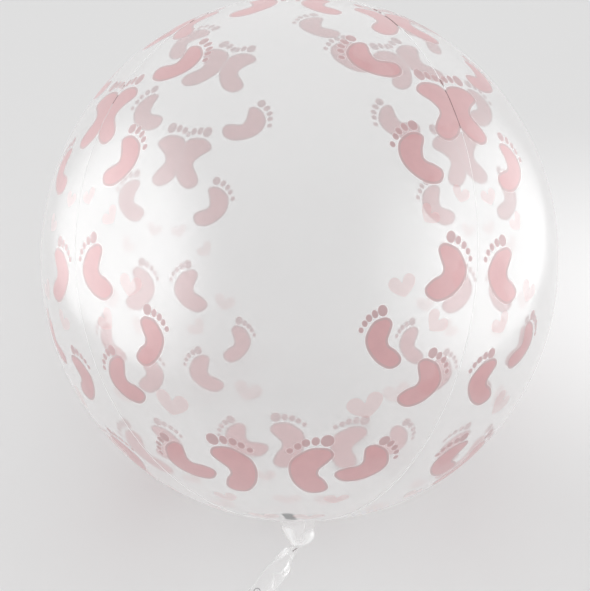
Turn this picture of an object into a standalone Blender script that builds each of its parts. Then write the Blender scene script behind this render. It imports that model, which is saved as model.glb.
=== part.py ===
# Clear round balloon, lying on its side on a small flat spot with its filling tail down in front.
# Metres, +Z up. The origin is the middle of the flat spot, on the floor, and -Y is the front.
# The ball is modelled upright round its own axis, crown up, and an empty then leans it back.
# Two pieces: the envelope (four welded gores and their neck, a sealed vessel, so one solid)
# and the filling sleeve (the flat film tube that comes out of the pinched neck as a tail).

from math import atan, atan2, cos, pi, radians, sin, sqrt

import bmesh
import bpy
from mathutils import Vector

# Driving sizes of the ball
BALL_RADIUS = 0.200
GORES = 4
# Share of the radius by which a gore's middle swells near the crown and the neck
SHOULDER_SWELL = 0.022
# Depth of the valley along a seam, at the equator and at its deepest towards the poles
SEAM_DIP_EQUATOR = 0.0020
SEAM_DIP_SHOULDER = 0.0070
# The weld stands up as a fine ridge in the middle of the valley
WELD_WIDTH = 0.0036
WELD_HEIGHT = 0.0014
# How far the front gore's middle is turned from the front, towards +X
GORE_TURN = radians(-7.7)

# Driving sizes of the neck, from where it leaves the ball to the pinch
NECK_RADIUS = 0.0140
NECK_FILLET = 0.0045
NECK_LENGTH = 0.0175
PINCH_RADIUS = 0.0032
# The neck narrows slowly at first and then fast, by this power
NECK_DROOP = 1.8
PLEATS = 8
# Depth of the neck's pleats as a share of its radius there
PLEAT_DEPTH = 0.10

# Driving sizes of the filling sleeve's tail
SLEEVE_WIDTH = 0.0220
SLEEVE_THICKNESS = 0.0012
# How far the tail swings to the left of the neck's own axis
SLEEVE_SWING = radians(38)
SLEEVE_ROOT_BEND = 0.010
# Length over which the gathered root spreads to the full width
SLEEVE_SPREAD = 0.016
# The flat end that lies on the floor, and the radius of the bend before it
SLEEVE_TAB = 0.024
SLEEVE_BEND = 0.030

# How it lies: the neck points this far below the horizontal
NECK_DOWN = radians(45)
REST_SPOT_RADIUS = 0.028
# Gap kept between the two pieces where they meet
TOUCH_GAP = 0.0003

# Fineness of the meshes
STEPS_PER_GORE = 20
BALL_RINGS = 38
NECK_RINGS = 7
FILLET_RINGS = 3
SLEEVE_STEP = 0.0030
SLEEVE_END_POINTS = 5

# Worked out from the sizes above
TURN_STEPS = GORES * STEPS_PER_GORE
BALL_HEIGHT = sqrt(BALL_RADIUS**2 - REST_SPOT_RADIUS**2)
LEAN_BACK = NECK_DOWN - pi / 2
NECK_AXIS = Vector((0.0, -cos(NECK_DOWN), -sin(NECK_DOWN)))
SEAM_TURN = GORE_TURN + pi / GORES - pi / 2


def clear_scene():
    """Remove whatever objects and collections the file opens with."""
    for thing in list(bpy.data.objects):
        bpy.data.objects.remove(thing, do_unlink=True)
    for group in list(bpy.data.collections):
        bpy.data.collections.remove(group)


def new_collection(name):
    group = bpy.data.collections.new(name)
    bpy.context.scene.collection.children.link(group)
    return group


def plain_material(name, colour, roughness, alpha):
    """A Principled material with one colour, for telling the pieces apart."""
    mat = bpy.data.materials.new(name)
    mat.use_nodes = True
    shader = mat.node_tree.nodes["Principled BSDF"]
    shader.inputs["Base Color"].default_value = (*colour, 1.0)
    shader.inputs["Roughness"].default_value = roughness
    shader.inputs["Metallic"].default_value = 0.0
    shader.inputs["Alpha"].default_value = alpha
    return mat


def shoulder(latitude):
    """How far a gore's middle stands out beyond the plain ball at a latitude, as a share."""
    share = abs(latitude) / (pi / 2)
    return SHOULDER_SWELL * sin(latitude) ** 2 * (1 - share**8)


def ball_point(latitude):
    """Radius from the axis, and height, of a gore's middle line at a latitude."""
    reach = BALL_RADIUS * (1 + shoulder(latitude))
    return Vector((reach * cos(latitude), 0.0, reach * sin(latitude)))


def neck_top_latitude():
    """Latitude at which the ball is as narrow as the top of the neck's fillet."""
    wanted = NECK_RADIUS + NECK_FILLET
    latitude = -pi / 2 + wanted / BALL_RADIUS
    return -pi / 2 + (latitude + pi / 2) * wanted / ball_point(latitude).x


def neck_start():
    """Height at which the fillet has turned into the neck."""
    return ball_point(neck_top_latitude()).z - NECK_FILLET


def pinch_depth():
    """Distance from the ball's middle to the pinched end of the neck."""
    return NECK_LENGTH - neck_start()


def envelope_profile():
    """Half outline of ball and neck, from the crown down to the middle of the pinch."""
    lowest = neck_top_latitude()
    points = []
    for ring in range(BALL_RINGS + 1):
        latitude = pi / 2 + (lowest - pi / 2) * ring / BALL_RINGS
        points.append(ball_point(latitude))
    points[0].x = 0.0
    corner = points[-1]
    for ring in range(1, FILLET_RINGS + 1):
        angle = pi / 2 * ring / FILLET_RINGS
        x = corner.x - NECK_FILLET * sin(angle)
        points.append(Vector((x, 0.0, corner.z - NECK_FILLET * (1 - cos(angle)))))
    for ring in range(1, NECK_RINGS + 1):
        share = ring / NECK_RINGS
        x = PINCH_RADIUS + (NECK_RADIUS - PINCH_RADIUS) * (1 - share**NECK_DROOP)
        points.append(Vector((x, 0.0, neck_start() - NECK_LENGTH * share)))
    points.append(Vector((0.0, 0.0, -pinch_depth())))
    return points


def seam_dip(height):
    """Depth of the seam valley at a height: deepest on the shoulders, nothing at the poles."""
    rise = min(abs(height) / BALL_RADIUS, 1.0)
    deep = SEAM_DIP_EQUATOR + (SEAM_DIP_SHOULDER - SEAM_DIP_EQUATOR) * rise**2
    return deep * sqrt(1 - rise**2) ** 0.5


def pleat_share(height):
    """How strongly the neck is pleated at a height, from 0 on the ball to 1 at the pinch."""
    return min(max((neck_start() - height) / NECK_LENGTH, 0.0), 1.0)


def shape_gores(mesh):
    """Press the seam valleys, welds and neck pleats into the turned ball."""
    gore = 2 * pi / GORES
    step = gore / STEPS_PER_GORE
    for vertex in mesh.vertices:
        radius = vertex.co.xy.length
        height = vertex.co.z
        pleated = pleat_share(height)
        if radius < TOUCH_GAP:
            # The crown is where all the welds meet
            vertex.co.z += WELD_HEIGHT if height > 0 else 0.0
            continue
        turn = atan2(vertex.co.y, vertex.co.x)
        seam = round(turn / gore) * gore
        off = turn - seam
        if abs(abs(off) - step) < step / 4:
            # The columns beside a seam close in to the foot of the weld
            off *= min(1.0, WELD_WIDTH / 2 / (radius * step))
        share = 1 - abs(off) / (gore / 2)
        narrowed = radius - seam_dip(height) * share**2
        narrowed *= 1 - PLEAT_DEPTH * pleated * (0.5 - 0.5 * cos(PLEATS * turn))
        vertex.co.x = narrowed * cos(seam + off)
        vertex.co.y = narrowed * sin(seam + off)
        if abs(off) < step / 4 and abs(turn - seam) < step / 4:
            vertex.co += vertex.co.normalized() * WELD_HEIGHT * (1 - pleated)


def turned_mesh(name, points):
    """The closed mesh that a half outline makes when it is turned round the Z axis."""
    outline = bpy.data.meshes.new(name + " outline")
    outline.from_pydata(points, [(i, i + 1) for i in range(len(points) - 1)], [])
    turner = bpy.data.objects.new(name + " outline", outline)
    bpy.context.scene.collection.objects.link(turner)
    screw = turner.modifiers.new("Turn", "SCREW")
    screw.steps = TURN_STEPS
    screw.render_steps = TURN_STEPS
    screw.use_merge_vertices = True
    screw.merge_threshold = 0.00001
    graph = bpy.context.evaluated_depsgraph_get()
    mesh = bpy.data.meshes.new_from_object(turner.evaluated_get(graph))
    bpy.data.objects.remove(turner, do_unlink=True)
    return mesh


def add_object(name, mesh, group, material):
    mesh.name = name
    thing = bpy.data.objects.new(name, mesh)
    thing.data.materials.clear()
    thing.data.materials.append(material)
    group.objects.link(thing)
    return thing


def floor_cutter(group):
    """A block under the floor, which cuts the rest spot flat."""
    size = 4 * REST_SPOT_RADIUS
    mesh = bpy.data.meshes.new("floor cutter")
    block = bmesh.new()
    bmesh.ops.create_cube(block, size=size)
    block.to_mesh(mesh)
    block.free()
    cutter = bpy.data.objects.new("floor cutter", mesh)
    cutter.location = (0.0, 0.0, -size / 2)
    cutter.hide_render = True
    cutter.display_type = "WIRE"
    group.objects.link(cutter)
    return cutter


def make_envelope(parts, cutters, lean):
    """Ball and neck, turned, gored, leaned over and cut flat where they rest."""
    mesh = turned_mesh("envelope", envelope_profile())
    shape_gores(mesh)
    mesh.shade_smooth()
    film = plain_material("clear film", (0.86, 0.87, 0.88), 0.15, 0.35)
    envelope = add_object("envelope", mesh, parts, film)
    envelope.parent = lean
    envelope.rotation_euler.z = SEAM_TURN
    rest = envelope.modifiers.new("Rest spot", "BOOLEAN")
    rest.operation = "DIFFERENCE"
    rest.solver = "EXACT"
    rest.object = floor_cutter(cutters)
    return envelope


def sleeve_path():
    """Middle line of the tail, from the pinch down to its flat end, as points and directions."""
    pinch = Vector((0.0, 0.0, BALL_HEIGHT)) + NECK_AXIS * (pinch_depth() + TOUCH_GAP)
    left = Vector((-1.0, 0.0, 0.0))
    down = Vector((0.0, 0.0, -1.0))
    line = []
    # The root leaves the neck along its axis and swings left, square to the view
    for share in steps(SLEEVE_ROOT_BEND * SLEEVE_SWING):
        angle = SLEEVE_SWING * share
        point = pinch + (NECK_AXIS * sin(angle) + left * (1 - cos(angle))) * SLEEVE_ROOT_BEND
        line.append((point, NECK_AXIS * cos(angle) + left * sin(angle)))
    start, hang = line[-1]
    # Then it hangs straight, as far as leaves room for the bend onto the floor
    flat = Vector((hang.x, hang.y, 0.0)).normalized()
    dip = atan(-hang.z / sqrt(hang.x**2 + hang.y**2))
    drop = start.z - SLEEVE_THICKNESS / 2
    bend = min(SLEEVE_BEND, 0.9 * drop / (1 - cos(dip)))
    straight = (drop - bend * (1 - cos(dip))) / sin(dip)
    for share in steps(straight)[1:]:
        line.append((start + hang * straight * share, hang))
    knee = start + hang * straight
    for share in steps(bend * dip)[1:]:
        angle = dip * (1 - share)
        point = knee + flat * bend * (sin(dip) - sin(angle)) + down * bend * (cos(angle) - cos(dip))
        line.append((point, flat * cos(angle) + down * sin(angle)))
    touch = line[-1][0]
    for share in steps(SLEEVE_TAB)[1:]:
        line.append((touch + flat * SLEEVE_TAB * share, flat))
    return line


def steps(length):
    """Even shares from 0 to 1 for a stretch, about one sleeve step apart."""
    count = max(2, round(length / SLEEVE_STEP))
    return [i / count for i in range(count + 1)]


def sleeve_section(half_width, half_thickness):
    """Outline of a flat tube: two flats and two round ends, as (across, up) pairs."""
    flat = half_width - half_thickness
    outline = []
    for side in (1, -1):
        for i in range(SLEEVE_END_POINTS):
            angle = side * pi / 2 - side * pi * i / (SLEEVE_END_POINTS - 1)
            outline.append((side * (flat + half_thickness * cos(angle)), half_thickness * sin(angle)))
    return outline


def smooth_share(value):
    """0 to 1 with a soft start and end."""
    value = min(max(value, 0.0), 1.0)
    return value * value * (3 - 2 * value)


def make_sleeve(parts):
    """The tail: gathered round at the pinch, then spread flat, and bent to lie on the floor."""
    mesh = bpy.data.meshes.new("filling sleeve")
    loft = bmesh.new()
    rings = []
    travelled = 0.0
    line = sleeve_path()
    for i, (point, ahead) in enumerate(line):
        if i:
            travelled += (point - line[i - 1][0]).length
        spread = smooth_share(travelled / SLEEVE_SPREAD)
        half_width = PINCH_RADIUS + (SLEEVE_WIDTH / 2 - PINCH_RADIUS) * spread
        half_thickness = PINCH_RADIUS + (SLEEVE_THICKNESS / 2 - PINCH_RADIUS) * spread
        across = Vector((0.0, 0.0, 1.0)).cross(ahead).normalized()
        up = ahead.cross(across)
        ring = []
        for a, b in sleeve_section(half_width, half_thickness):
            ring.append(loft.verts.new(point + across * a + up * b))
        rings.append(ring)
    sides = len(rings[0])
    for before, after in zip(rings, rings[1:]):
        for i in range(sides):
            j = (i + 1) % sides
            loft.faces.new((before[i], before[j], after[j], after[i]))
    loft.faces.new(rings[0][::-1])
    loft.faces.new(rings[-1])
    bmesh.ops.recalc_face_normals(loft, faces=loft.faces)
    loft.to_mesh(mesh)
    loft.free()
    mesh.shade_smooth()
    mesh.set_sharp_from_angle(angle=radians(50))
    film = plain_material("sleeve film", (0.90, 0.91, 0.92), 0.20, 0.5)
    return add_object("filling_sleeve", mesh, parts, film)


def make_lean(group):
    """The empty that leans the upright ball back and lifts it to its height on the floor."""
    lean = bpy.data.objects.new("lean", None)
    lean.location = (0.0, 0.0, BALL_HEIGHT)
    lean.rotation_euler = (LEAN_BACK, 0.0, 0.0)
    group.objects.link(lean)
    return lean


def main():
    clear_scene()
    parts = new_collection("round balloon")
    cutters = new_collection("cutters")
    lean = make_lean(parts)
    make_envelope(parts, cutters, lean)
    make_sleeve(parts)
    bpy.context.view_layer.update()


main()
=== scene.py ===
# Looks of the clear round balloon: the printed film and its welds, the pinched neck, the flat
# filling tail and the valve sealed in the balloon, on a pale floor.
# Metres, +Z up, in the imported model's frame. The ball is worked out upright, crown up,
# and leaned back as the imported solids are.

from math import asin, atan, atan2, cos, exp, pi, radians, sin, sqrt

import bmesh
import bpy
from bpy.props import FloatProperty, FloatVectorProperty, PointerProperty
from mathutils import Matrix, Vector, geometry, kdtree, noise


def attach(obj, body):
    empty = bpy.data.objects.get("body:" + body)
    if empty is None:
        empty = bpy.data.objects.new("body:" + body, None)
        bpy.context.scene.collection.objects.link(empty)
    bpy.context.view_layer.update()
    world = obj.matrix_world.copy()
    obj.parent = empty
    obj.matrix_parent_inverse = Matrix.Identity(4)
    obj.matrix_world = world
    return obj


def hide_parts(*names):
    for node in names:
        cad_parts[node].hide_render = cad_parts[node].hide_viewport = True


bl_info = {
    "name": "Clear Round Balloon",
    "version": (1, 0, 0),
    "blender": (4, 5, 0),
    "location": "3D View > Sidebar > Balloon",
    "description": "Printed clear film ball with its neck, filling tail, floor and light",
    "category": "Object",
}

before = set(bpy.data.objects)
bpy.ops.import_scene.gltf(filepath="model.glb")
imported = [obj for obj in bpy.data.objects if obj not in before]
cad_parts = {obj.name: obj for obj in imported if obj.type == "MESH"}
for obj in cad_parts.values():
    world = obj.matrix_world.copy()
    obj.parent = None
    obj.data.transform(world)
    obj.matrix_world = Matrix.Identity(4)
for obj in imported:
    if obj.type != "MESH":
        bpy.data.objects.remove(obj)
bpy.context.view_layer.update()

GORES = 4
HALF_GORE = pi / GORES
LEAN_BACK = radians(45 - 90)

# Soles of the footprints, in shares of the distance from the ball of the foot to the heel.
# Pairs are (towards the toes, towards the little toe), from the ball of the foot.
SLIM_SOLE = (
    (0.21, -0.07), (0.19, 0.22), (-0.07, 0.50), (-0.33, 0.57), (-0.63, 0.52),
    (-0.93, 0.38), (-1.17, 0.14), (-1.16, -0.12), (-1.00, -0.22), (-0.74, -0.13),
    (-0.56, 0.00), (-0.38, 0.00), (-0.20, -0.13), (-0.02, -0.24), (0.13, -0.20),
)
BROAD_SOLE = tuple((ahead, 1.25 * aside - 0.05) for ahead, aside in SLIM_SOLE)
WIDE_SOLE = (
    (0.20, -0.05), (0.15, 0.28), (-0.05, 0.48), (-0.32, 0.56), (-0.60, 0.52),
    (-0.87, 0.40), (-1.08, 0.22), (-1.18, -0.04), (-1.10, -0.24), (-0.95, -0.30),
    (-0.77, -0.20), (-0.60, -0.05), (-0.46, -0.02), (-0.28, -0.14), (-0.14, -0.31),
    (-0.02, -0.38), (0.12, -0.28),
)
# Each toe: its middle, half width and half length
CLOSE_TOES = (
    (0.40, -0.10, 0.12, 0.14), (0.39, 0.12, 0.072, 0.10), (0.345, 0.30, 0.073, 0.09),
    (0.25, 0.445, 0.063, 0.078), (0.12, 0.585, 0.054, 0.066),
)
BROAD_TOES = (
    (0.40, -0.11, 0.13, 0.14), (0.41, 0.12, 0.078, 0.10), (0.365, 0.33, 0.076, 0.085),
    (0.275, 0.50, 0.066, 0.072), (0.14, 0.64, 0.056, 0.062),
)
SPREAD_TOES = (
    (0.32, -0.32, 0.12, 0.125), (0.38, -0.08, 0.075, 0.105), (0.365, 0.13, 0.065, 0.09),
    (0.29, 0.30, 0.065, 0.08), (0.17, 0.50, 0.058, 0.07),
)
SLIM, BROAD = (SLIM_SOLE, CLOSE_TOES), (BROAD_SOLE, BROAD_TOES)
MERGED, WIDE = (WIDE_SOLE, CLOSE_TOES), (WIDE_SOLE, SPREAD_TOES)
# Half a heart, from the notch round to the tip, in shares of its width: (out, up)
HALF_HEART = (
    (0.00, 0.10), (0.10, 0.27), (0.25, 0.35), (0.41, 0.30), (0.50, 0.15),
    (0.46, -0.02), (0.33, -0.17), (0.16, -0.30), (0.04, -0.37),
)
# Where the footprints lie on the right half of a gore, in degrees: latitude, angle from the
# gore's middle, length from ball to heel, heading (0 to the crown, + to the right), the
# side of the little toe (1 right, -1 left) and the stamp. The left half mirrors them.
FEET = (
    (55.0, 36, 9.4, 6, 1, MERGED),
    (39.6, 26.9, 8.4, -50, -1, WIDE),
    (27.8, 40.4, 9.9, -4, 1, MERGED),
    (16.6, 33.0, 8.1, -30, -1, WIDE),
    (-5.5, 36.4, 7.95, 20, 1, BROAD),
    (-19.3, 25.8, 7.4, -23, -1, SLIM),
    (-27.6, 34.6, 7.5, 22, 1, BROAD),
    (-50.2, 13.9, 10.4, -1, -1, SLIM),
    (-47.8, 26.4, 8.3, 32, 1, BROAD),
)
# The footprints near the crown, which differ from gore to gore: front, right, back and left
CROWN_PAIR = ((60.5, 17, 7.5, -15, -1, WIDE), (60.7, -14, 8.4, 15, 1, WIDE))
CROWN_FEET = (
    CROWN_PAIR,
    CROWN_PAIR,
    ((61, -19.5, 8.5, 15, 1, WIDE), (74, -10, 8.0, 20, 1, WIDE)),
    CROWN_PAIR,
)
# The hearts: latitude, angle, width, and how far the tip leans to the seam
HEARTS = (
    (10, 41.2, 4.4, -18),
    (5.5, 33.2, 4.6, -41),
    (-8.1, 27.6, 5.7, 17),
    (-14.9, 36.0, 5.4, -38),
    (-32.4, 23.0, 7.4, 21),
    (-60.4, 23.5, 5.5, 0),
    (-72.0, 15.0, 7.0, 0),
)
# How much of each dark stretch a seam shows where footprints run over it: front right,
# back right, back left and front left
SEAM_INK = (1.0, 0.0, 0.0, 0.25)
# Reach of the tail's left and right edge from its middle line, by the way from the pinch,
# for a tail of the drawn width
DRAWN_WIDTH = 0.0220
TAIL_EDGES = (
    (0.000, 0.0040, 0.0018), (0.002, 0.0050, 0.0006), (0.005, 0.0080, -0.0006),
    (0.011, 0.0095, 0.0025), (0.020, 0.0105, 0.0075), (0.031, 0.0113, 0.0072),
    (0.042, 0.0100, 0.0064), (0.056, 0.0110, 0.0110), (1.000, 0.0110, 0.0110),
)
# Material slots of the skin
FILM, FOOT_INK, FOOT_RIM, HEART_INK, INK_EDGE, GATHERED = range(6)
# How far a footprint's layers lie out from its outline: a step in metres, then the sole's
# ink, the dark rim and the pale edge in such steps
PRINT_STEP = 0.00055
SOLE_INSET, RIM_REACH, EDGE_REACH = -2.6, 0.5, 1.8
# Points that a smooth outline gets for each corner, and the corners of a toe
SOLE_STEPS, HEART_STEPS, TOE_CORNERS = 5, 3, 16
# Puckers along a seam: their length along it and across it
PUCKER_LENGTH, PUCKER_BREADTH = 0.0075, 0.016
# Folds round the neck and the crown: height, distance from the pole, and reach
NECK_FOLDS, CROWN_FOLDS = (0.0006, 0.020, 0.012), (0.0004, 0.012, 0.010)
# The skin's points, as angles on the ball: between rows by a seam, and what the poles keep free
SEAM_STEP, POLE_ROOM = 0.0108, 0.008
# Columns of points by a seam: distance from it, and how many rows lie between two points
SEAM_COLUMNS = ((0.005, 1), (0.011, 1), (0.019, 1), (0.030, 2), (0.044, 3), (0.062, 3))
# Steps of the points inside a gore: next to a pole, and how much wider they grow away from it
POLE_STEP, WIDER_STEP = 0.012, 0.020
# Angles again: no point is set closer than this to a cut, and one this close to a seam is on it
CLEAR_OF_CUTS, ON_SEAM = 0.0040, 0.0002
# The neck: columns in each gore, rings in its fillet and rings down to the pinch
NECK_COLUMNS, FILLET_RINGS, NECK_RINGS = 24, 4, 18
# How much the neck's white film hides: at its top ring, where it is clear, more on its folds, in
# the gathered bottom as a share of the folds, and at its tip. On the two folds the white is partly
# their layers of film and partly a painted highlight
TOP_COVER, CLEAR_COVER, FOLD_LAYERS_AND_HIGHLIGHT, BOTTOM_SHARE, TIP_COVER = 0.30, 0.08, 0.88, 0.65, 0.85
# Azimuths of the neck's left fold, its front valley and its right fold, and their reach
LEFT_FOLD, VALLEY, RIGHT_FOLD = radians(-42), radians(6), radians(56)
FOLD_REACH, VALLEY_REACH = radians(24), radians(17)
# The neck's bulge on the right, in metres, and its depths as shares of its radius: the
# valley, the pleats in front and what the pleats behind have more
BULGE, VALLEY_DEPTH, FRONT_PLEATS, MORE_BEHIND = 0.013, 0.30, 0.06, 0.16
# The welds: sides of the bead, length of a step, and thinnest share of their full size
WELD_SIDES, WELD_STEP, THIN_WELD = 8, 0.008, 0.22
# How much the tail's film hides where it is clear, and what its stem, two painted glints, crease
# and edges add
TAIL_COVERS = (0.06, 0.18, 0.88, 0.18, 0.14)
# The tail's two painted glints: way from the pinch and reach, place across and reach
LEFT_GLINT, RIGHT_GLINT = (0.0105, 0.0046, -0.72, 0.30), (0.0182, 0.0042, 0.58, 0.34)
# The painted shadow in the folds at the pinch, a dark patch of the tail's front layer: start and
# end on the way from the pinch, place across, half width and how fast it narrows
FOLD_SHADOW_START, FOLD_SHADOW_END, FOLD_SHADOW_PLACE, FOLD_SHADOW_HALF_WIDTH, FOLD_SHADOW_TAPER = 0.0006, 0.0054, 0.62, 0.26, 40
# Radius of the bead round the filling hole and along the cut inner end
HOLE_BEAD, CUT_BEAD = 0.00035, 0.00028
# The light panels: name, place from the ball's middle, facing, size and share of their light
PANELS = (
    ("left panel", (-0.62, -0.13, 0.15), (1, 0, 0), (1.35, 1.35), 1.0),
    ("right panel", (0.62, -0.03, 0.03), (-1, 0, 0), (1.32, 1.3), 0.84),
)
# Soft spots on the floor, each as middle and radius: a painted pool of light on the right, painted
# light by the ball's bottom, and a painted shadow under and behind the ball
PAINTED_LIGHT_RIGHT, PAINTED_LIGHT_NEAR, PAINTED_SHADOW_BEHIND = (
    ((0.31, 0.18), 0.30), ((0.02, -0.12), 0.28), ((0.0, 0.20), 0.30))
# Share of the painted light by the ball's bottom, against the painted light on the right
PAINTED_NEAR_SHARE = 0.30
# Where the ball's middle stands, in pixels right of and above the middle of the picture, the
# picture's height in pixels and the camera's sensor in millimetres
AIM, PICTURE_HEIGHT, SENSOR = (4.5, 36.0), 591.0, 36.0


def bell(value, middle, reach):
    """1 at the middle, falling off to both sides."""
    return exp(-((value - middle) / reach) ** 2)


class BalloonShape(bpy.types.PropertyGroup):
    """Sizes of the ball, its welds and its neck."""

    radius: FloatProperty(
        name="Ball Radius", description="Radius of the ball along the seams' circle",
        default=0.200, min=0.05, unit="LENGTH")
    swell: FloatProperty(
        name="Shoulder Swell", description="Share by which a gore's middle stands out",
        default=0.022, min=0.0, max=0.1, subtype="FACTOR")
    dip_equator: FloatProperty(
        name="Seam Dip", description="Depth of the seam valley at the equator",
        default=0.0020, min=0.0, unit="LENGTH")
    dip_shoulder: FloatProperty(
        name="Shoulder Seam Dip", description="Depth of the seam valley towards the poles",
        default=0.0070, min=0.0, unit="LENGTH")
    turn: FloatProperty(
        name="Gore Turn", description="How far the front gore is turned to the right",
        default=radians(-7.7), unit="ROTATION")
    rest_spot: FloatProperty(
        name="Rest Spot", description="Radius of the spot pressed flat on the floor",
        default=0.028, min=0.0, unit="LENGTH")
    pucker_depth: FloatProperty(
        name="Pucker Depth", description="Depth of the small puckers along the seams",
        default=0.00030, min=0.0, unit="LENGTH")
    pucker_reach: FloatProperty(
        name="Pucker Reach", description="How far the puckers run out from a seam",
        default=0.010, min=0.001, unit="LENGTH")
    weld_width: FloatProperty(
        name="Weld Width", description="Width of the weld between two gores",
        default=0.0018, min=0.0002, unit="LENGTH")
    weld_height: FloatProperty(
        name="Weld Height", description="How far the weld stands up from its valley",
        default=0.0007, min=0.0001, unit="LENGTH")
    neck_radius: FloatProperty(
        name="Neck Radius", description="Radius where the neck leaves the ball",
        default=0.0140, min=0.002, unit="LENGTH")
    neck_fillet: FloatProperty(
        name="Neck Fillet", description="Radius of the curve from ball to neck",
        default=0.0045, min=0.0005, unit="LENGTH")
    neck_length: FloatProperty(
        name="Neck Length", description="Length of the neck down to its pinch",
        default=0.0175, min=0.002, unit="LENGTH")
    pinch_radius: FloatProperty(
        name="Pinch Radius", description="Radius of the gathered film at the pinch",
        default=0.0032, min=0.0005, unit="LENGTH")

    def height(self):
        """Height of the ball's middle over the floor."""
        return sqrt(self.radius**2 - self.rest_spot**2)

    def lean(self):
        """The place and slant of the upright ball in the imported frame."""
        return Matrix.Translation((0, 0, self.height())) @ Matrix.Rotation(LEAN_BACK, 4, "X")

    def line_point(self, latitude):
        """Radius from the axis, and height, of a gore's middle line at a latitude."""
        share = abs(latitude) / (pi / 2)
        reach = self.radius * (1 + self.swell * sin(latitude) ** 2 * (1 - share**8))
        return reach * cos(latitude), reach * sin(latitude)

    def neck_top(self):
        """Latitude at which the ball turns into the neck's fillet."""
        wanted = self.neck_radius + self.neck_fillet
        latitude = -pi / 2 + wanted / self.radius
        return -pi / 2 + (latitude + pi / 2) * wanted / self.line_point(latitude)[0]

    def neck_start(self):
        """Height at which the fillet has turned into the neck."""
        return self.line_point(self.neck_top())[1] - self.neck_fillet

    def pinch_depth(self):
        """Distance from the ball's middle to the pinched end of the neck."""
        return self.neck_length - self.neck_start()

    def seam_dip(self, height):
        """Depth of the seam valley at a height in the upright ball."""
        rise = min(abs(height) / self.radius, 1.0)
        deep = self.dip_equator + (self.dip_shoulder - self.dip_equator) * rise**2
        return deep * sqrt(1 - rise**2) ** 0.5

    def upright(self, radius, height, turn):
        """A point of the upright ball, its turn taken from the front gore's middle."""
        turn += self.turn
        return Vector((radius * sin(turn), -radius * cos(turn), height))

    def azimuth(self, turn):
        """The turn of a point as seen from the front, from -pi to pi."""
        return (turn + self.turn + pi) % (2 * pi) - pi

    def relief(self, latitude, turn):
        """Small puckers by the seams, the neck and the crown: how far the skin stands out."""
        seam = round(turn / HALF_GORE / 2 - 0.5)
        off = (turn - (seam + 0.5) * 2 * HALF_GORE) * cos(latitude) * self.radius
        along = latitude * self.radius
        apart = 7.3 * (seam % GORES)
        wave = noise.noise(Vector((along / PUCKER_LENGTH, off / PUCKER_BREADTH, apart)))
        towards_poles = 0.55 + 0.75 * sin(latitude) ** 2
        out = self.pucker_depth * towards_poles * wave * exp(-abs(off) / self.pucker_reach)
        folds = cos(11 * turn + 2.0 * sin(2 * turn)) + 0.6 * cos(17 * turn + 1.0)
        for pole, (height, place, reach) in ((-pi / 2, NECK_FOLDS), (pi / 2, CROWN_FOLDS)):
            away = abs(latitude - pole) * self.radius
            out += height * folds * bell(away, place, reach)
        return out

    def skin_point(self, latitude, turn):
        """A point of the printed film in the upright ball."""
        radius, height = self.line_point(latitude)
        at_pole = 1e-6
        if radius < at_pole:
            return Vector((0.0, 0.0, height))
        gore = 2 * HALF_GORE
        share = abs(turn - round(turn / gore) * gore) / HALF_GORE
        radius -= self.seam_dip(height) * share**2
        point = self.upright(radius, height, turn)
        return point + point.normalized() * self.relief(latitude, turn)

    def laid(self, point):
        """A point of the upright ball where it lies, pressed flat by the floor."""
        point = self.lean() @ point
        soft, lift = 0.0008, 0.0003
        if point.z < soft:
            point.z = max(max(point.z + soft, 0.0) ** 2 / (4 * soft), lift)
        return point


class TailShape(bpy.types.PropertyGroup):
    """Sizes of the filling sleeve: its tail outside and its valve end inside."""

    width: FloatProperty(
        name="Tail Width", description="Width of the flat tail",
        default=0.0220, min=0.004, unit="LENGTH")
    thickness: FloatProperty(
        name="Tail Thickness", description="Thickness of the two layers of film",
        default=0.0012, min=0.0002, unit="LENGTH")
    swing: FloatProperty(
        name="Swing", description="How far the tail swings to the left of the neck's axis",
        default=radians(38), unit="ROTATION")
    root_bend: FloatProperty(
        name="Root Bend", description="Radius of the bend at the pinch",
        default=0.010, min=0.001, unit="LENGTH")
    floor_bend: FloatProperty(
        name="Floor Bend", description="Radius of the bend onto the floor",
        default=0.030, min=0.001, unit="LENGTH")
    tab: FloatProperty(
        name="Flat End", description="Length of the end that lies on the floor",
        default=0.024, min=0.001, unit="LENGTH")
    hole_place: FloatProperty(
        name="Hole Place", description="Way from the pinch to the filling hole",
        default=0.0465, min=0.0, unit="LENGTH")
    hole_side: FloatProperty(
        name="Hole Side", description="How far the filling hole lies left of the middle line",
        default=0.0050, unit="LENGTH")
    hole_radius: FloatProperty(
        name="Hole Radius", description="Radius of the filling hole",
        default=0.0026, min=0.0005, unit="LENGTH")
    inner_length: FloatProperty(
        name="Inner Length", description="Length of the sleeve inside the balloon",
        default=0.0250, min=0.005, unit="LENGTH")
    inner_width: FloatProperty(
        name="Inner Width", description="Width of the sleeve at its inner end",
        default=0.0180, min=0.003, unit="LENGTH")
    inner_shift: FloatProperty(
        name="Inner Shift", description="How far the inner end lies to the left",
        default=-0.0033, unit="LENGTH")


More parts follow.
